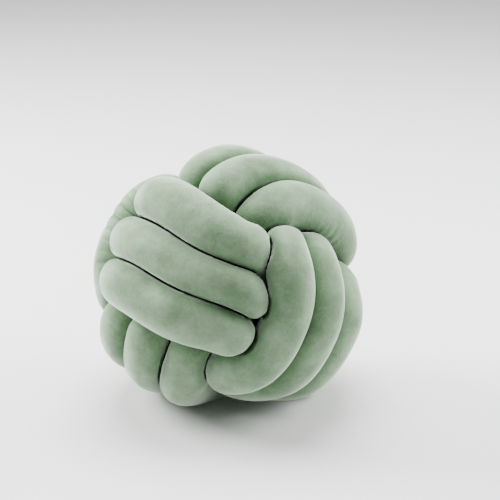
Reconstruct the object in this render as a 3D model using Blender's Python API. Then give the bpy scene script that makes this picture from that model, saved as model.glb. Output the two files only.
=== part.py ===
"""Knot cushion: one long stuffed plush tube wound into a ball, three strands side by side.

The tube is wound in three bands at right angles, three turns in each. Every band is seen on
two opposite faces of the ball and passes under its neighbour band on two others. Both ends
are tucked in under the strands. Where two strands press together they flatten against each
other, and the ball is flattened a little where it rests.

Metres, +Z up, resting on z = 0. The knot is built about its own axes (0, 1, 2), which run
out of the front, right and top faces, and is then turned to the way it lies.
"""
import math

import bpy
import numpy as np
from mathutils import Euler

# The tube
TUBE_R = 0.0298           # radius where nothing presses on it
STRAND_GAP = 0.0011       # left between strands that press together
PRESS_SHARPNESS = 14      # how squarely a strand flattens against its neighbour
YIELD = 0.41              # how much a hidden stretch gives way to the strands over it
SAME_STRETCH = 0.06       # nearer than this along the tube, it presses on itself evenly
INWARD_SWELL = 0.4        # how much further it swells towards the hollow, which is free
END_ROUNDING = 0.022      # length over which each end closes

# The way a band is wound: an outer reach where it is seen, a dip where it is hidden
MIDDLE_REACH = 0.1204
SIDE_REACH = 0.1125
MIDDLE_DIP = 0.0866
SIDE_DIP = 0.0724
MIDDLE_SQUARENESS = 2.6
SIDE_SQUARENESS = 3.3
LANE_APART_SEEN = 0.0451
LANE_APART_HIDDEN = 0.0357
LANES_SPREAD_BY = 0.79    # share of the way out, squared, by which the lanes are fully apart
HIDDEN_UNTIL = 0.3        # the same share, up to which a strand is hidden
SEEN_WITHIN = 0.6         # and over which it then comes fully into sight
LANE_CHANGE = 0.11        # turns taken to move over to the next lane, each way
TURNS = 3
START_TUCK = 0.07         # turns left off at the start of the first band
END_TUCK = 0.05           # turns left off at the end of the last band
FACE_HALF = 0.075         # half the width of a face, for the table below

# One row a band: seen at the ends of its long axis, hidden at the ends of its short one,
# its strands side by side along its stack axis
BANDS = (
    dict(long=1, short=2, stack=0, start_deg=90, way=1, first_lane=1),
    dict(long=2, short=0, stack=1, start_deg=-90, way=-1, first_lane=-1),
    dict(long=0, short=1, stack=2, start_deg=90, way=-1, first_lane=-1),
)

# The faces at the two ends of each axis
FACES = (("front", "back"), ("right", "left"), ("top", "under"))

# How the strands of each face lie, in mm. The first four move all three together: straight
# over, slanting, bowed and curling at the ends. The next three move the outer two apart:
# evenly, more at one end, and more at both ends. The last two raise the face, and raise
# what passes under it.
LIE_MM = {
    "front": dict(over=0, slant=-5, bow=3, curl=13, spread=-1, fan=-2, flare=-3, rise=-4, fill=4),
    "back": dict(over=0, slant=0, bow=0, curl=0, spread=2, fan=0, flare=0, rise=5, fill=1),
    "right": dict(over=-6, slant=13, bow=5, curl=16, spread=5, fan=10, flare=2, rise=-2, fill=11),
    "left": dict(over=-6, slant=-3, bow=-9, curl=3, spread=7, fan=1, flare=-3, rise=5, fill=-1),
    "top": dict(over=9, slant=-16, bow=-7, curl=-5, spread=0, fan=5, flare=5, rise=-1, fill=-8),
    "under": dict(over=-22, slant=26, bow=-4, curl=-3, spread=-1, fan=5, flare=5, rise=-3, fill=2),
}

# What single strands do besides, by face and lane, in mm. "fill" is for the hidden strand
# in that lane under the face.
STRAND_MM = {
    ("front", 1): dict(over=2, slant=-1, bow=-3, rise=3, fill=-11),
    ("front", 0): dict(over=1, slant=3, bow=-6, rise=-3),
    ("front", -1): dict(over=-1, slant=1, bow=-4, fill=-5),
    ("right", 1): dict(over=4, slant=-5, bow=14, rise=3),
    ("right", 0): dict(over=7, bow=6, rise=4, fill=12),
    ("right", -1): dict(slant=-3, bow=3, fill=16),
    ("left", 1): dict(rise=-3, fill=6),
    ("left", 0): dict(fill=6),
    ("left", -1): dict(slant=7),
    ("top", 1): dict(over=-7, slant=-4, bow=6, rise=-4),
    ("top", 0): dict(over=2, slant=-2, bow=3),
    ("top", -1): dict(over=5, slant=7, bow=3, rise=3, fill=-3),
    ("under", 1): dict(over=-8, bow=9, rise=2, fill=6),
    ("under", 0): dict(over=-7, bow=10, fill=-6),
    ("under", -1): dict(fill=-4),
}

# The way the ball lies
LIE_TURN_DEG = (-13.2, -29.5, -126.8)
CENTRE_AT = (0.0011, -0.0002, 0.131)    # the last few millimetres underneath are pressed flat

# The mesh
WIND_STEPS = 2400
PATH_STEP = 0.004
SOFTEN_LENGTH = 0.012
SOFTEN_PASSES = 3
SEEN = 3                  # the column of a line that says how far it is in sight
RINGS = 480
SIDES = 12


def mix(first, second, share):
    return first + (second - first) * share


def ease(share):
    share = np.clip(share, 0.0, 1.0)
    return share * share * (3 - 2 * share)


def signed_power(value, power):
    return np.sign(value) * np.abs(value) ** power


def lie(axis, side, lane, term):
    """One term in metres, for the face at the end of the axis that each point is on."""
    ahead, behind = FACES[axis]
    amount = np.where(side > 0, LIE_MM[ahead][term], LIE_MM[behind][term])
    for (face, own_lane), row in STRAND_MM.items():
        if face in FACES[axis] and term in row:
            on_face = (side > 0) == (face == ahead)
            amount = amount + row[term] * on_face * np.maximum(0, 1 - np.abs(lane - own_lane))
    return amount / 1000.0


def lean(axis, side, along, lane):
    """How far the strands of a face lie from their even places."""
    over, slant, bow, curl, spread, fan, flare = [
        lie(axis, side, lane, term)
        for term in ("over", "slant", "bow", "curl", "spread", "fan", "flare")]
    together = over + slant * along + bow * along ** 2 + curl * along ** 3
    apart = spread + fan * along + flare * along ** 2
    return together + lane * apart


def wind(band):
    """The centreline of one band, and how far it is in sight: three turns that move over
    a lane in hiding."""
    turns = np.linspace(0, TURNS, WIND_STEPS)
    angle = math.radians(band["start_deg"]) + band["way"] * 2 * math.pi * turns
    lane = np.full(WIND_STEPS, float(band["first_lane"]))
    for change in range(1, TURNS):
        lane -= band["first_lane"] * ease((turns - change + LANE_CHANGE) / (2 * LANE_CHANGE))
    side = lane ** 2
    reach = mix(MIDDLE_REACH, SIDE_REACH, side)
    dip = mix(MIDDLE_DIP, SIDE_DIP, side)
    power = 2 / mix(MIDDLE_SQUARENESS, SIDE_SQUARENESS, side)
    outward = signed_power(np.cos(angle), power)
    inward = signed_power(np.sin(angle), power)
    long = outward * (reach + lie(band["long"], outward, lane, "rise"))
    short = inward * (dip + lie(band["short"], inward, lane, "fill"))
    spread = ease(outward ** 2 / LANES_SPREAD_BY)
    stack = lane * mix(LANE_APART_HIDDEN, LANE_APART_SEEN, spread)
    stack += ease(outward ** 2) * lean(band["long"], outward, short / FACE_HALF, lane)
    points = np.zeros((WIND_STEPS, 4))
    points[:, band["long"]] = long
    points[:, band["short"]] = short
    points[:, band["stack"]] = stack
    points[:, SEEN] = ease((outward ** 2 - HIDDEN_UNTIL) / SEEN_WITHIN)
    return points


def turn_under(before, after):
    """The hidden stretch that leads from the end of one band to the start of the next."""
    start, finish = before[-1, :3], after[0, :3]
    distance = np.linalg.norm(finish - start)
    leave = before[-1, :3] - before[-2, :3]
    arrive = after[1, :3] - after[0, :3]
    leave *= 1.1 * distance / np.linalg.norm(leave)
    arrive *= 1.1 * distance / np.linalg.norm(arrive)
    u = np.linspace(0, 1, 60)[1:-1, None]
    points = ((2 * u ** 3 - 3 * u ** 2 + 1) * start + (u ** 3 - 2 * u ** 2 + u) * leave
              + (3 * u ** 2 - 2 * u ** 3) * finish + (u ** 3 - u ** 2) * arrive)
    return np.hstack([points, np.zeros((len(points), 1))])


def walked_along(line):
    """The distance walked to each point of a line."""
    return np.r_[0, np.cumsum(np.linalg.norm(np.diff(line[:, :3], axis=0), axis=1))]


def respace(line, count):
    """The same line with evenly spaced points."""
    walked = walked_along(line)
    wanted = np.linspace(0, walked[-1], count)
    return np.stack([np.interp(wanted, walked, column) for column in line.T], axis=1)


def soften(points):
    """Rounds off the kinks where stretches join."""
    reach = int(SOFTEN_LENGTH / PATH_STEP)
    for _ in range(SOFTEN_PASSES):
        padded = np.concatenate([np.repeat(points[:1], reach, 0), points,
                                 np.repeat(points[-1:], reach, 0)])
        total = sum(padded[shift:shift + len(points)] for shift in range(2 * reach + 1))
        points = total / (2 * reach + 1)
    return points


def centreline():
    """The whole tube's centreline, from one tucked end to the other."""
    bands = [wind(band) for band in BANDS]
    steps_a_turn = WIND_STEPS / TURNS
    bands[0] = bands[0][int(START_TUCK * steps_a_turn):]
    bands[2] = bands[2][:-int(END_TUCK * steps_a_turn)]
    line = np.concatenate([bands[0], turn_under(bands[0], bands[1]),
                           bands[1], turn_under(bands[1], bands[2]), bands[2]])
    line = soften(respace(line, int(walked_along(line)[-1] / PATH_STEP)))
    turn = np.array(Euler([math.radians(angle) for angle in LIE_TURN_DEG]).to_matrix())
    line[:, :3] = line[:, :3] @ turn.T
    return line


def ring_axes(line):
    """Two directions across the tube at every point, carried along without twist."""
    ahead = np.gradient(line, axis=0)
    ahead /= np.linalg.norm(ahead, axis=1, keepdims=True)
    across = np.zeros_like(ahead)
    across[0] = np.cross(ahead[0], (0.0, 0.0, 1.0))
    across[0] /= np.linalg.norm(across[0])
    for index in range(1, len(line)):
        kept = across[index - 1] - ahead[index] * (across[index - 1] @ ahead[index])
        across[index] = kept / np.linalg.norm(kept)
    return across, np.cross(ahead, across)


def claim(line, index):
    """How much more claim to the room between them a point has than each other part of the
    tube. A stretch in sight keeps its form, and a hidden one gives way."""
    step = np.linalg.norm(line[1, :3] - line[0, :3])
    elsewhere = np.abs(np.arange(len(line)) - index) * step > SAME_STRETCH
    return YIELD * TUBE_R ** 2 * (line[index, SEEN] - line[:, SEEN]) * elsewhere


def room(line, index, directions):
    """How far each direction can go from a point before it presses on another part."""
    to_others = line[:, :3] - line[index, :3]
    squared = (to_others ** 2).sum(axis=1) + claim(line, index)
    towards = directions @ to_others.T
    limit = np.where(towards > 1e-9, squared / (2 * np.maximum(towards, 1e-9)), 1.0)
    return limit.min(axis=1)


def free_radius(line, index, directions):
    """The radius where nothing presses: more towards the hollow middle."""
    inward = -line[index, :3] / np.linalg.norm(line[index, :3])
    return TUBE_R * (1 + INWARD_SWELL * np.maximum(0, directions @ inward) ** 2)


def section(line, index, directions):
    """Radii round one ring: round where free, flat where it meets its neighbours."""
    limit = np.maximum(room(line, index, directions) - STRAND_GAP / 2, 0.001)
    power = PRESS_SHARPNESS
    return (free_radius(line, index, directions) ** -power + limit ** -power) ** (-1 / power)


def closing(distance_from_end):
    """Share of the full radius near an end, for a rounded end."""
    share = np.clip(distance_from_end / END_ROUNDING, 0.0, 1.0)
    return math.sqrt(1 - (1 - share) ** 2)


def tube(line, rings, sides):
    """Vertices and faces of the closed tube round the centreline."""
    length = walked_along(line)[-1]
    across, upward = ring_axes(line[:, :3])
    angles = np.arange(sides) * 2 * math.pi / sides
    vertices = [line[0, :3]]
    for place in np.linspace(0.12 * END_ROUNDING, length - 0.12 * END_ROUNDING, rings):
        index = int(round(place / length * (len(line) - 1)))
        directions = np.outer(np.cos(angles), across[index]) + np.outer(np.sin(angles), upward[index])
        radius = section(line, index, directions) * closing(min(place, length - place))
        vertices.extend(line[index, :3] + directions * radius[:, None])
    vertices.append(line[-1, :3])
    faces = []
    last = len(vertices) - 1
    for side in range(sides):
        beside = (side + 1) % sides
        faces.append((0, 1 + beside, 1 + side))
        for ring in range(rings - 1):
            near, far = 1 + ring * sides, 1 + (ring + 1) * sides
            faces.append((near + side, near + beside, far + beside, far + side))
        faces.append((last, last - sides + side, last - sides + beside))
    return np.array(vertices), faces


def rest(vertices):
    """Stands the ball on z = 0 with its underside pressed flat."""
    placed = vertices + CENTRE_AT
    placed[:, 2] = np.maximum(placed[:, 2], 0.0)
    return placed


def add_solid(name, vertices, faces):
    mesh = bpy.data.meshes.new(name)
    mesh.from_pydata([tuple(vertex) for vertex in vertices], [], faces)
    mesh.validate()
    obj = bpy.data.objects.new(name, mesh)
    bpy.context.scene.collection.objects.link(obj)
    return obj


def main():
    for old in list(bpy.data.objects):
        bpy.data.objects.remove(old, do_unlink=True)
    line = centreline()
    fine = respace(line, RINGS * 4)
    vertices, faces = tube(fine, RINGS, SIDES)
    add_solid("knot_tube", rest(vertices), faces)


main()
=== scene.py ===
"""Looks for the knot cushion: the wound tube again, finer, in sage-green plush."""
import math

import bpy
import numpy as np
from mathutils import Euler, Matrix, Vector, noise


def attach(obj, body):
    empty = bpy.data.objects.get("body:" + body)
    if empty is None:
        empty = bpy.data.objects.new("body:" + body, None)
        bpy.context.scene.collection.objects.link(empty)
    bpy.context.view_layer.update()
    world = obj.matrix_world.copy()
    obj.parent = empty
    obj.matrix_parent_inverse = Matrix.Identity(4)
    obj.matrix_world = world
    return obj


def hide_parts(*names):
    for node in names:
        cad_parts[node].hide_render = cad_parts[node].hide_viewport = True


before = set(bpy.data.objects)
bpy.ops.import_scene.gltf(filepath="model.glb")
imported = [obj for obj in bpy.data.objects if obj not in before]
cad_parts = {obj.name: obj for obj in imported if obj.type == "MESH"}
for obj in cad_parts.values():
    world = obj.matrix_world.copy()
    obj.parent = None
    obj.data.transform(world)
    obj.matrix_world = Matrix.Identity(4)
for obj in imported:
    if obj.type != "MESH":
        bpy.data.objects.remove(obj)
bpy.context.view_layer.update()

# --- The tube, in metres: as the solid's, but for a wider gap ---------------------------
TUBE_R = 0.0298           # radius where nothing presses on it
STRAND_GAP = 0.0014       # left between strands that press together
PRESS_SHARPNESS = 14      # how squarely a strand flattens against its neighbour
YIELD = 0.41              # how much a hidden stretch gives way to the strands over it
SAME_STRETCH = 0.06       # nearer than this along the tube, it presses on itself evenly
INWARD_SWELL = 0.4        # how much further it swells towards the hollow, which is free
END_ROUNDING = 0.022      # length over which each end closes

# --- The way a band is wound, as in the solid -------------------------------------------
# How far out a turn reaches where it is seen, and how deep it dips where it is hidden, for
# the middle strand and for the two beside it. A squareness of 2 is an ellipse.
MIDDLE_REACH = 0.1204
SIDE_REACH = 0.1125
MIDDLE_DIP = 0.0866
SIDE_DIP = 0.0724
MIDDLE_SQUARENESS = 2.6
SIDE_SQUARENESS = 3.3
LANE_APART_SEEN = 0.0451
LANE_APART_HIDDEN = 0.0357
LANES_SPREAD_BY = 0.79    # share of the way out, squared, by which the lanes are fully apart
HIDDEN_UNTIL = 0.3        # the same share, up to which a strand is hidden
SEEN_WITHIN = 0.6         # and over which it then comes fully into sight
LANE_CHANGE = 0.11        # turns taken to move over to the next lane, each way
TURNS = 3
START_TUCK = 0.07         # turns left off at the start of the first band
END_TUCK = 0.05           # turns left off at the end of the last band
TURN_PULL = 1.1           # how strongly a stretch between bands keeps their directions
TURN_STEPS = 60
FACE_HALF = 0.075         # half the width of a face, for the tables below

# One row a band: seen at the ends of its long axis, hidden at the ends of its short one,
# its strands side by side along its stack axis
BANDS = (
    dict(long=1, short=2, stack=0, start_deg=90, way=1, first_lane=1),
    dict(long=2, short=0, stack=1, start_deg=-90, way=-1, first_lane=-1),
    dict(long=0, short=1, stack=2, start_deg=90, way=-1, first_lane=-1),
)

# The faces at the two ends of each axis
FACES = (("front", "back"), ("right", "left"), ("top", "under"))

# The two tables below weren't set by hand. A search fitted them to strand outlines that
# were read off the photograph, along with YIELD, LIE_TURN_DEG, LANES_SPREAD_BY and the
# reaches, dips and lane widths above.

# How the strands of each face lie, in mm. The first four move all three together: straight
# over, slanting, bowed and curling at the ends. The next three move the outer two apart:
# evenly, more at one end, and more at both ends. The last two raise the face, and raise
# what passes under it.
LIE_MM = {
    "front": dict(over=0, slant=-5, bow=3, curl=13, spread=-1, fan=-2, flare=-3, rise=-4, fill=4),
    "back": dict(over=0, slant=0, bow=0, curl=0, spread=2, fan=0, flare=0, rise=5, fill=1),
    "right": dict(over=-6, slant=13, bow=5, curl=16, spread=5, fan=10, flare=2, rise=-2, fill=11),
    "left": dict(over=-6, slant=-3, bow=-9, curl=3, spread=7, fan=1, flare=-3, rise=5, fill=-1),
    "top": dict(over=9, slant=-16, bow=-7, curl=-5, spread=0, fan=5, flare=5, rise=-1, fill=-8),
    "under": dict(over=-22, slant=26, bow=-4, curl=-3, spread=-1, fan=5, flare=5, rise=-3, fill=2),
}

# What single strands do besides, by face and lane, in mm. "fill" is for the hidden strand
# in that lane under the face.
STRAND_MM = {
    ("front", 1): dict(over=2, slant=-1, bow=-3, rise=3, fill=-11),
    ("front", 0): dict(over=1, slant=3, bow=-6, rise=-3),
    ("front", -1): dict(over=-1, slant=1, bow=-4, fill=-5),
    ("right", 1): dict(over=4, slant=-5, bow=14, rise=3),
    ("right", 0): dict(over=7, bow=6, rise=4, fill=12),
    ("right", -1): dict(slant=-3, bow=3, fill=16),
    ("left", 1): dict(rise=-3, fill=6),
    ("left", 0): dict(fill=6),
    ("left", -1): dict(slant=7),
    ("top", 1): dict(over=-7, slant=-4, bow=6, rise=-4),
    ("top", 0): dict(over=2, slant=-2, bow=3),
    ("top", -1): dict(over=5, slant=7, bow=3, rise=3, fill=-3),
    ("under", 1): dict(over=-8, bow=9, rise=2, fill=6),
    ("under", 0): dict(over=-7, bow=10, fill=-6),
    ("under", -1): dict(fill=-4),
}
MM_IN_A_METRE = 1000.0

# The way the ball lies
LIE_TURN_DEG = (-13.2, -29.5, -126.8)
CENTRE_AT = (0.0011, -0.0002, 0.131)    # where the knot's own centre stands
FLOOR_GAP = 0.0002        # height of the flattened underside

# --- The fine mesh ----------------------------------------------------------------------
WIND_STEPS = 2400
PATH_STEP = 0.004
SOFTEN_LENGTH = 0.012
SOFTEN_PASSES = 3
SEEN = 3                  # the column of a line that says how far it is in sight
PUCKERED = 4              # how much it puckers
AWAY = slice(5, 8)        # the side away from its neighbours in the band
COLUMNS = 8
RINGS = 1560
SIDES = 56
HIDDEN_CLOSENESS = 0.5    # how close the rings stand in hiding, against 1 in sight
LINE_POINTS = 2880        # centreline points that each ring is measured against
OWN_RING = 0.006          # nearer than this along the tube they are the ring's own
FACING = 1e-9             # a point less far ahead than this doesn't press on a direction
OPEN_ROOM = 1.0           # room where nothing lies ahead
LEAST_ROOM = 0.0008       # left to a direction, however hard it is pressed
END_RING = 0.03           # the outermost ring's place, in END_ROUNDING at a closeness of 1
SMOOTH_PASSES = 6
SMOOTH_SHARE = 0.6        # how far each pass moves a radius to its neighbours' average
STIFF_RINGS = 6           # rings either way over which a strand in sight evens out
STIFF_PASSES = 2
STIFF_FROM = 0.7          # how far in sight a strand begins to even out
STIFF_WITHIN = 0.3        # and over how much more it does so fully

# --- The filling and the puckers --------------------------------------------------------
LUMP_SIZE = 0.045         # the filling's unevenness
LUMP_HEIGHT = 0.0009
LUMP_SEED = 3.1
RIPPLE_SIZE = 0.014
RIPPLE_HEIGHT = 0.00025
RIPPLE_SEED = 7.7
PUCKERS = {               # by face and lane: where on the face, in halves of its width
    ("left", 1): dict(share=1.0, at=0.05, reach=0.75),
    ("top", 1): dict(share=0.3, at=-0.35, reach=0.5),
}
PUCKERS_BEGIN_WITHIN = 0.3    # halves of a face over which they come in along the strand
PUCKER_LENGTH = 0.0105    # from one pucker to the next along the tube
PUCKER_DEPTH = 0.0032
PUCKER_NARROWNESS = 3
PUCKER_CLOSER = 1.4       # how much closer the rings stand where it puckers
WANDER_SIZE = 0.03        # the slower unevenness, along the tube
WANDER_SHIFT = 0.45       # how far it shifts a pucker, in their lengths
WANDER_STRENGTH = 0.4     # and how much it changes one's depth, from the usual depth
USUAL_STRENGTH = 0.8
UNEVEN_SIZE = 0.013       # the quicker unevenness, which changes the depth in full
UNEVEN_REACH = 0.3        # how much it changes where a pucker begins
LIGHTLY_BEGINS = 0.6      # how near a crease, at 1, they begin on a strand that hardly puckers
FULLY_BEGINS = -0.2       # and on one that puckers fully
BEGINS_WITHIN = 0.3
OUTER_SIDE_FROM = 0.36    # they lie on the side away from the neighbours, which faces 1
OUTER_SIDE_WITHIN = 0.38
NOISE_ROW = 0.5           # the two fixed places at which the noise along the tube is read

# --- Plush ------------------------------------------------------------------------------
CREASE_REACH = 0.35       # how near a crease the painted crease shade begins, and the filling's lumps fade out
FOLD_SHADE = 1.8           # how much painted shade a pucker gets for its depth
FOLD_SHADE_MOST = 0.885    # the painted fold shade stops short of the first step down of the sheen
SHEEN_SHADE_STEPS = (0.89, 0.925, 0.95)    # painted shade: the crease depths at which a face steps down to a copy of the plush with less sheen
# painted shade: the sheen of each copy, full where open and none deep in the creases
SHEENS_LIT_TO_SHADED = (1.0, 0.5, 0.2, 0.0)
SHEEN_ROUGHNESS = 0.38
# sheen tint at full sheen, going to the darker green one as painted shade where the sheen steps
# down
OPEN_TINT = (0.87, 1.0, 0.85)
SHADED_SHEEN_TINT = (0.45, 0.70, 0.40)
PILE_ROUGHNESS = 0.92
PILE_SPECULAR = 0.15      # with the full sheen, stepped down with it in the creases as painted shade
WHITE = (1.0, 1.0, 1.0)
BRUSHED = dict(scale=26.0, detail=7.0, roughness=0.68)
BRUSHED_STOPS = ((0.38, (0.116, 0.190, 0.107)), (0.64, (0.210, 0.306, 0.197)))
GRAIN = dict(scale=420.0, detail=3.0, roughness=0.7)
GRAIN_STOPS = ((0.30, (0.80, 0.82, 0.80)), (0.70, WHITE))
GRAIN_SHARE = 0.8
# painted shade: darkens the pile to a near-black green deep in the creases
CREASE_SHADE_STOPS = ((0.15, WHITE), (0.88, (0.62, 0.74, 0.60)), (0.955, (0.11, 0.16, 0.10)))
FINE = dict(scale=900.0, detail=2.0, roughness=0.6)
FINE_BUMP = dict(strength=0.35, distance=0.0008)
SOFT = dict(scale=120.0, detail=3.0, roughness=0.6)
SOFT_BUMP = dict(strength=0.25, distance=0.002)

# --- Stage ------------------------------------------------------------------------------
VIEW_UP_DEG = 20.0
VIEW_DISTANCE = 1.8
LENS_MM = 118.8
SENSOR_MM = 36.0
FRAME_PIXELS = 500
CENTRE_PIXEL = (227.7, 283.2)    # where the photograph shows the ball's centre
FLOOR_HALF = 4.0
FLOOR_COLOUR = (0.72, 0.72, 0.72)
FLOOR_ROUGHNESS = 0.7
WORLD_COLOUR = (0.95, 0.95, 0.95)
WORLD_STRENGTH = 0.42
LIGHTS = (
    dict(name="left", place=(-1.6, 0.65, 1.05), size=1.2, watts=132.0, colour=(1.0, 1.0, 0.99)),
    dict(name="above", place=(0.0, 0.6, 1.9), size=1.5, watts=108.0, colour=(1.0, 1.0, 0.99)),
    dict(name="right", place=(1.6, 0.2, 0.9), size=1.3, watts=68.0, colour=(1.0, 1.0, 1.0)),
)


def mix(first, second, share):
    return first + (second - first) * share


def ease(share):
    share = np.clip(share, 0.0, 1.0)
    return share * share * (3 - 2 * share)


def signed_power(value, power):
    return np.sign(value) * np.abs(value) ** power


# --- The centreline ---------------------------------------------------------------------
def on_strand(axis, side, lane, face, own_lane):
    """How far each point is on one strand of one face at an end of the axis, from 0 to 1."""
    on_face = (side > 0) == (face == FACES[axis][0])
    return on_face * np.maximum(0, 1 - np.abs(lane - own_lane))


def lie(axis, side, lane, term):
    """One term in metres, for the face at the end of the axis that each point is on."""
    ahead, behind = FACES[axis]
    amount = np.where(side > 0, LIE_MM[ahead][term], LIE_MM[behind][term])
    for (face, own_lane), row in STRAND_MM.items():
        if face in FACES[axis] and term in row:
            amount = amount + row[term] * on_strand(axis, side, lane, face, own_lane)
    return amount / MM_IN_A_METRE


def lean(axis, side, along, lane):
    """How far the strands of a face lie from their even places."""
    over, slant, bow, curl, spread, fan, flare = [
        lie(axis, side, lane, term)
        for term in ("over", "slant", "bow", "curl", "spread", "fan", "flare")]
    together = over + slant * along + bow * along ** 2 + curl * along ** 3
    apart = spread + fan * along + flare * along ** 2
    return together + lane * apart


def puckered(axis, side, along, lane):
    """How much each point's strand puckers."""
    amount = np.zeros_like(lane)
    for (face, own_lane), row in PUCKERS.items():
        if face in FACES[axis]:
            inside = row["reach"] - np.abs(along - row["at"])
            there = row["share"] * ease(inside / PUCKERS_BEGIN_WITHIN)
            amount += there * on_strand(axis, side, lane, face, own_lane)
    return amount


def wind(band):
    """The centreline of one band, and how far it is in sight: three turns that move over
    a lane in hiding."""
    turns = np.linspace(0, TURNS, WIND_STEPS)
    angle = math.radians(band["start_deg"]) + band["way"] * 2 * math.pi * turns
    lane = np.full(WIND_STEPS, float(band["first_lane"]))
    for change in range(1, TURNS):
        lane -= band["first_lane"] * ease((turns - change + LANE_CHANGE) / (2 * LANE_CHANGE))
    side = lane ** 2
    reach = mix(MIDDLE_REACH, SIDE_REACH, side)
    dip = mix(MIDDLE_DIP, SIDE_DIP, side)
    power = 2 / mix(MIDDLE_SQUARENESS, SIDE_SQUARENESS, side)
    outward = signed_power(np.cos(angle), power)
    inward = signed_power(np.sin(angle), power)
    long = outward * (reach + lie(band["long"], outward, lane, "rise"))
    short = inward * (dip + lie(band["short"], inward, lane, "fill"))
    spread = ease(outward ** 2 / LANES_SPREAD_BY)
    stack = lane * mix(LANE_APART_HIDDEN, LANE_APART_SEEN, spread)
    stack += ease(outward ** 2) * lean(band["long"], outward, short / FACE_HALF, lane)
    points = np.zeros((WIND_STEPS, COLUMNS))
    points[:, band["long"]] = long
    points[:, band["short"]] = short
    points[:, band["stack"]] = stack
    points[:, SEEN] = ease((outward ** 2 - HIDDEN_UNTIL) / SEEN_WITHIN)
    points[:, PUCKERED] = puckered(band["long"], outward, short / FACE_HALF, lane)
    points[:, AWAY.start + band["stack"]] = lane
    return points


def turn_under(before, after):
    """The hidden stretch that leads from the end of one band to the start of the next."""
    start, finish = before[-1, :3], after[0, :3]
    distance = np.linalg.norm(finish - start)
    leave = before[-1, :3] - before[-2, :3]
    arrive = after[1, :3] - after[0, :3]
    leave *= TURN_PULL * distance / np.linalg.norm(leave)
    arrive *= TURN_PULL * distance / np.linalg.norm(arrive)
    u = np.linspace(0, 1, TURN_STEPS)[1:-1, None]
    points = ((2 * u ** 3 - 3 * u ** 2 + 1) * start + (u ** 3 - 2 * u ** 2 + u) * leave
              + (3 * u ** 2 - 2 * u ** 3) * finish + (u ** 3 - u ** 2) * arrive)
    return np.hstack([points, np.zeros((len(points), COLUMNS - 3))])


def walked_along(line):
    """The distance walked to each point of a line."""
    return np.r_[0, np.cumsum(np.linalg.norm(np.diff(line[:, :3], axis=0), axis=1))]


def respace(line, count):
    """The same line with evenly spaced points."""
    walked = walked_along(line)
    wanted = np.linspace(0, walked[-1], count)
    return np.stack([np.interp(wanted, walked, column) for column in line.T], axis=1)


def soften(points):
    """Rounds off the kinks where stretches join."""
    reach = int(SOFTEN_LENGTH / PATH_STEP)
    for _ in range(SOFTEN_PASSES):
        padded = np.concatenate([np.repeat(points[:1], reach, 0), points,
                                 np.repeat(points[-1:], reach, 0)])
        total = sum(padded[shift:shift + len(points)] for shift in range(2 * reach + 1))
        points = total / (2 * reach + 1)
    return points


def centreline():
    """The whole tube's centreline, from one tucked end to the other."""
    bands = [wind(band) for band in BANDS]
    steps_a_turn = WIND_STEPS / TURNS
    bands[0] = bands[0][int(START_TUCK * steps_a_turn):]
    bands[2] = bands[2][:-int(END_TUCK * steps_a_turn)]
    line = np.concatenate([bands[0], turn_under(bands[0], bands[1]),
                           bands[1], turn_under(bands[1], bands[2]), bands[2]])
    line = soften(respace(line, int(walked_along(line)[-1] / PATH_STEP)))
    turn = np.array(Euler([math.radians(angle) for angle in LIE_TURN_DEG]).to_matrix())
    line[:, :3] = line[:, :3] @ turn.T
    line[:, AWAY] = line[:, AWAY] @ turn.T
    return line


# --- The rings --------------------------------------------------------------------------
def ring_axes(line, places):
    """Two directions across the tube at every point, carried along without twist."""
    ahead = np.gradient(line, places, axis=0)
    ahead /= np.linalg.norm(ahead, axis=1, keepdims=True)
    across = np.zeros_like(ahead)
    across[0] = np.cross(ahead[0], (0.0, 0.0, 1.0))
    across[0] /= np.linalg.norm(across[0])
    for index in range(1, len(line)):
        kept = across[index - 1] - ahead[index] * (across[index - 1] @ ahead[index])
        across[index] = kept / np.linalg.norm(kept)
    return across, np.cross(ahead, across)


def ring_directions(rings, places):
    """Every direction round every ring."""
    across, upward = ring_axes(rings[:, :3], places)
    angles = np.arange(SIDES) * 2 * math.pi / SIDES
    return (np.cos(angles)[None, :, None] * across[:, None, :]
            + np.sin(angles)[None, :, None] * upward[:, None, :])


def ring_places(line, walked):
    """Where the rings stand along the tube: wider apart in hiding, closer where it puckers."""
    closeness = mix(HIDDEN_CLOSENESS, 1.0, line[:, SEEN]) + PUCKER_CLOSER * line[:, PUCKERED]
    counted = np.r_[0, np.cumsum((closeness[1:] + closeness[:-1]) / 2 * np.diff(walked))]
    edge = END_RING * END_ROUNDING
    return np.interp(np.linspace(edge, counted[-1] - edge, RINGS), counted, walked)


def room(line, walked, ring, place, directions):
    """How far each direction can go from a ring's centre before it presses on another part.
    A stretch in sight keeps its form, and a hidden one gives way."""
    apart = np.abs(walked - place)
    others, apart = line[apart > OWN_RING], apart[apart > OWN_RING]
    to_others = others[:, :3] - ring[:3]
    claim = YIELD * TUBE_R ** 2 * (ring[SEEN] - others[:, SEEN]) * (apart > SAME_STRETCH)
    squared = (to_others ** 2).sum(axis=1) + claim
    towards = directions @ to_others.T
    halfway = squared / (2 * np.maximum(towards, FACING))
    return np.where(towards > FACING, halfway, OPEN_ROOM).min(axis=1)


def free_radius(ring, directions):
    """The radius where nothing presses: more towards the hollow middle."""
    inward = -ring[:3] / np.linalg.norm(ring[:3])
    return TUBE_R * (1 + INWARD_SWELL * np.maximum(0, directions @ inward) ** 2)


def spread_out(grid):
    """The average of each value's neighbours, along the tube and round it."""
    along = grid.copy()
    along[1:-1] = (grid[:-2] + grid[2:]) / 2
    around = (np.roll(grid, 1, axis=1) + np.roll(grid, -1, axis=1)) / 2
    return (along + around) / 2


def stiffen(radius, seen):
    """A full strand in sight stays straight: it doesn't bulge into every short notch."""
    evened = radius
    for _ in range(STIFF_PASSES):
        padded = np.pad(evened, ((STIFF_RINGS, STIFF_RINGS), (0, 0)), mode="edge")
        window = [padded[shift:shift + len(radius)] for shift in range(2 * STIFF_RINGS + 1)]
        evened = sum(window) / len(window)
    return mix(radius, evened, ease((seen - STIFF_FROM) / STIFF_WITHIN)[:, None])


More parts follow.
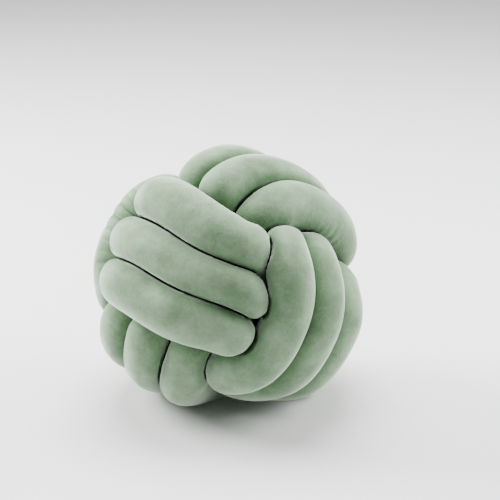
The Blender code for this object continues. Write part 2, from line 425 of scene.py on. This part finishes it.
def pressed_radius(free, limits, seen):
    """The radius in each direction: free where there is room, flat against its neighbours."""
    power = PRESS_SHARPNESS
    radius = (free ** -power + limits ** -power) ** (-1 / power)
    for _ in range(SMOOTH_PASSES):
        radius = np.minimum(mix(radius, spread_out(radius), SMOOTH_SHARE), limits)
    return stiffen(radius, seen)


def noise_along(places, size):
    """Smooth seeded unevenness along the tube, between about -1 and 1."""
    return np.array([noise.noise(Vector((place / size, NOISE_ROW, NOISE_ROW)))
                     for place in places])


def lump_grid(points, size, seed):
    """Smooth seeded unevenness at each point, between about -1 and 1."""
    flat = points.reshape(-1, 3) / size + seed
    values = [noise.noise(Vector(point)) for point in flat]
    return np.array(values).reshape(points.shape[:2])


def puckers(rings, places, directions, nearness):
    """Narrow folds across the tube beside a crease, from 0 to about 1. The more a strand
    puckers, the further they reach from the crease."""
    amount = rings[:, PUCKERED, None]
    wander = noise_along(places, WANDER_SIZE)
    uneven = noise_along(places, UNEVEN_SIZE)
    begins = mix(LIGHTLY_BEGINS, FULLY_BEGINS, amount)
    beside = ease((nearness - begins + UNEVEN_REACH * uneven[:, None]) / BEGINS_WITHIN)
    outer_side = np.einsum("rsk,rk->rs", directions, rings[:, AWAY])
    facing = ease((outer_side - OUTER_SIDE_FROM) / OUTER_SIDE_WITHIN)
    turns = places / PUCKER_LENGTH + WANDER_SHIFT * wander
    narrow = (0.5 + 0.5 * np.cos(2 * math.pi * turns)) ** PUCKER_NARROWNESS
    strength = np.maximum(0, USUAL_STRENGTH + WANDER_STRENGTH * wander + uneven)
    fold = narrow * strength
    return amount * fold[:, None] * beside * facing


def tube_grid(line):
    """Vertex positions ring by ring, and how much painted crease shade each gets, from 0 to 1."""
    walked = walked_along(line)
    places = ring_places(line, walked)
    rings = np.stack([np.interp(places, walked, column) for column in line.T], axis=1)
    directions = ring_directions(rings, places)
    limits = np.stack([room(line, walked, *each) for each in zip(rings, places, directions)])
    limits = np.maximum(limits - STRAND_GAP / 2, LEAST_ROOM)
    free = np.stack([free_radius(*each) for each in zip(rings, directions)])
    radius = pressed_radius(free, limits, rings[:, SEEN])
    nearness = radius / limits
    pressed = np.clip((nearness - CREASE_REACH) / (1 - CREASE_REACH), 0.0, 1.0)

    surface = rings[:, None, :3] + directions * radius[:, :, None]
    lumps = LUMP_HEIGHT * lump_grid(surface, LUMP_SIZE, LUMP_SEED)
    lumps += RIPPLE_HEIGHT * lump_grid(surface, RIPPLE_SIZE, RIPPLE_SEED)
    folds = puckers(rings, places, directions, nearness)
    radius += lumps * (1 - pressed) - PUCKER_DEPTH * folds

    share = np.clip(np.minimum(places, walked[-1] - places) / END_ROUNDING, 0.0, 1.0)
    radius *= np.sqrt(1 - (1 - share) ** 2)[:, None]
    grid = rings[:, None, :3] + directions * radius[:, :, None]
    # painted shade also goes into the puckers' folds, beside their real dents
    return grid, np.maximum(pressed, np.clip(FOLD_SHADE * folds, 0.0, FOLD_SHADE_MOST))


# --- The piece --------------------------------------------------------------------------
def stand(points):
    """Stands the ball on the floor, with its underside pressed flat."""
    placed = points + CENTRE_AT
    placed[..., 2] = np.maximum(placed[..., 2], FLOOR_GAP)
    return placed


def tube_faces(last):
    """The faces between the rings, closed on vertex 0 at one end and on the last at the
    other."""
    faces = []
    for side in range(SIDES):
        beside = (side + 1) % SIDES
        faces.append((0, 1 + beside, 1 + side))
        for ring in range(RINGS - 1):
            near = 1 + ring * SIDES
            far = near + SIDES
            faces.append((near + side, near + beside, far + beside, far + side))
        faces.append((last, last - SIDES + side, last - SIDES + beside))
    return faces


def dress(mesh, faces, crease):
    """Keeps each point's crease depth for the painted crease shade in the pile's colour, and gives
    each face its sheen: a copy of the plush with less sheen deeper in a crease, as painted shade.
    """
    attribute = mesh.attributes.new("crease", "FLOAT", "POINT")
    attribute.data.foreach_set("value", crease.astype(np.float32))
    for sheen in SHEENS_LIT_TO_SHADED:
        mesh.materials.append(plush_material(sheen))
    crease_shade = np.array([crease[list(face)].min() for face in faces])
    steps = np.searchsorted(SHEEN_SHADE_STEPS, crease_shade)
    mesh.polygons.foreach_set("material_index", steps.astype(np.int32))


def make_tube():
    """The whole cushion: one tube, from one tucked end to the other."""
    line = respace(centreline(), LINE_POINTS)
    # how much painted crease shade each point gets, carried to the material as the crease
    # attribute
    grid, shade_mask = tube_grid(line)
    vertices = np.concatenate([line[:1, :3], grid.reshape(-1, 3), line[-1:, :3]])
    crease = np.concatenate([[1.0], shade_mask.reshape(-1), [1.0]])
    faces = tube_faces(len(vertices) - 1)
    mesh = bpy.data.meshes.new("plush_tube")
    mesh.from_pydata(stand(vertices).tolist(), [], faces)
    mesh.shade_smooth()
    dress(mesh, faces, crease)
    obj = bpy.data.objects.new("plush_tube", mesh)
    bpy.context.scene.collection.objects.link(obj)
    return obj


# --- Materials --------------------------------------------------------------------------
def noise_value(tree, place, scale, detail, roughness):
    """A noise texture's value at each place."""
    node = tree.nodes.new("ShaderNodeTexNoise")
    node.inputs["Scale"].default_value = scale
    node.inputs["Detail"].default_value = detail
    node.inputs["Roughness"].default_value = roughness
    tree.links.new(place, node.inputs["Vector"])
    return node.outputs["Fac"]


def ramp(tree, value, stops):
    """The colour that the stops give for a value."""
    node = tree.nodes.new("ShaderNodeValToRGB")
    elements = node.color_ramp.elements
    while len(elements) < len(stops):
        elements.new(0.5)
    for element, (position, colour) in zip(elements, stops):
        element.position = position
        element.color = (*colour, 1)
    tree.links.new(value, node.inputs["Fac"])
    return node.outputs["Color"]


def darkened(tree, colour, by, share):
    """A colour multiplied by a share of another."""
    node = tree.nodes.new("ShaderNodeMix")
    node.data_type = "RGBA"
    node.blend_type = "MULTIPLY"
    node.inputs["Factor"].default_value = share
    tree.links.new(colour, node.inputs["A"])
    tree.links.new(by, node.inputs["B"])
    return node.outputs["Result"]


def bump(tree, height, strength, distance):
    node = tree.nodes.new("ShaderNodeBump")
    node.inputs["Strength"].default_value = strength
    node.inputs["Distance"].default_value = distance
    tree.links.new(height, node.inputs["Height"])
    return node


def pile_colour_and_crease_shade(tree, place):
    """Brushed patches and fine grain, with painted shade: a darker green near the creases."""
    brushed = ramp(tree, noise_value(tree, place, **BRUSHED), BRUSHED_STOPS)
    grain = ramp(tree, noise_value(tree, place, **GRAIN), GRAIN_STOPS)
    pile = darkened(tree, brushed, by=grain, share=GRAIN_SHARE)
    crease = tree.nodes.new("ShaderNodeAttribute")
    crease.attribute_name = "crease"
    # painted shade in the creases, read from the crease attribute
    crease_shade = ramp(tree, crease.outputs["Fac"], CREASE_SHADE_STOPS)
    return darkened(tree, pile, by=crease_shade, share=1.0)


def plush_material(sheen):
    """Short velvet pile, with as much sheen as is given; the copies with less sheen, less specular
    and a darker sheen tint are painted shade deep in the creases.
    """
    material = bpy.data.materials.new("sage_plush")
    material.use_nodes = True
    tree = material.node_tree
    shader = tree.nodes["Principled BSDF"]
    tint = [mix(shaded, lit, sheen) for shaded, lit in zip(SHADED_SHEEN_TINT, OPEN_TINT)]
    shader.inputs["Roughness"].default_value = PILE_ROUGHNESS
    shader.inputs["Specular IOR Level"].default_value = PILE_SPECULAR * sheen
    shader.inputs["Sheen Weight"].default_value = sheen
    shader.inputs["Sheen Roughness"].default_value = SHEEN_ROUGHNESS
    shader.inputs["Sheen Tint"].default_value = (*tint, 1)

    place = tree.nodes.new("ShaderNodeTexCoord").outputs["Object"]
    tree.links.new(pile_colour_and_crease_shade(tree, place), shader.inputs["Base Color"])
    fine = bump(tree, noise_value(tree, place, **FINE), **FINE_BUMP)
    soft = bump(tree, noise_value(tree, place, **SOFT), **SOFT_BUMP)
    tree.links.new(fine.outputs["Normal"], soft.inputs["Normal"])
    tree.links.new(soft.outputs["Normal"], shader.inputs["Normal"])
    return material


def floor_material():
    material = bpy.data.materials.new("floor_paint")
    material.use_nodes = True
    shader = material.node_tree.nodes["Principled BSDF"]
    shader.inputs["Base Color"].default_value = (*FLOOR_COLOUR, 1)
    shader.inputs["Roughness"].default_value = FLOOR_ROUGHNESS
    return material


# --- Floor, light and camera ------------------------------------------------------------
def make_floor():
    """A plain pale floor, flat all over."""
    half = FLOOR_HALF
    corners = [(-half, -half, 0), (half, -half, 0), (half, half, 0), (-half, half, 0)]
    mesh = bpy.data.meshes.new("floor")
    mesh.from_pydata(corners, [], [(0, 1, 2, 3)])
    mesh.materials.append(floor_material())
    floor = bpy.data.objects.new("floor", mesh)
    bpy.context.scene.collection.objects.link(floor)


def add_light(name, place, size, watts, colour):
    """A round soft light that points at the ball."""
    light = bpy.data.lights.new(name, "AREA")
    light.shape = "DISK"
    light.size = size
    light.energy = watts
    light.color = colour
    obj = bpy.data.objects.new(name, light)
    obj.location = place
    aim = Vector(CENTRE_AT) - Vector(place)
    obj.rotation_euler = aim.to_track_quat("-Z", "Y").to_euler()
    bpy.context.scene.collection.objects.link(obj)


def light_world():
    world = bpy.data.worlds.new("studio")
    world.use_nodes = True
    background = world.node_tree.nodes["Background"]
    background.inputs["Color"].default_value = (*WORLD_COLOUR, 1)
    background.inputs["Strength"].default_value = WORLD_STRENGTH
    bpy.context.scene.world = world


def make_camera():
    """The photograph's view: in front of the ball, a little above it."""
    camera = bpy.data.cameras.new("camera")
    camera.lens = LENS_MM
    camera.sensor_width = SENSOR_MM
    camera.shift_x = (FRAME_PIXELS / 2 - CENTRE_PIXEL[0]) / FRAME_PIXELS
    camera.shift_y = (CENTRE_PIXEL[1] - FRAME_PIXELS / 2) / FRAME_PIXELS
    obj = bpy.data.objects.new("camera", camera)
    up = math.radians(VIEW_UP_DEG)
    away = Vector((0.0, -math.cos(up), math.sin(up)))
    obj.location = Vector(CENTRE_AT) + away * VIEW_DISTANCE
    obj.rotation_euler = (-away).to_track_quat("-Z", "Y").to_euler()
    bpy.context.scene.collection.objects.link(obj)
    bpy.context.scene.camera = obj


def make_stage():
    make_floor()
    light_world()
    for light in LIGHTS:
        add_light(**light)
    make_camera()


tube = make_tube()
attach(tube, "root")
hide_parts("knot_tube")
make_stage()
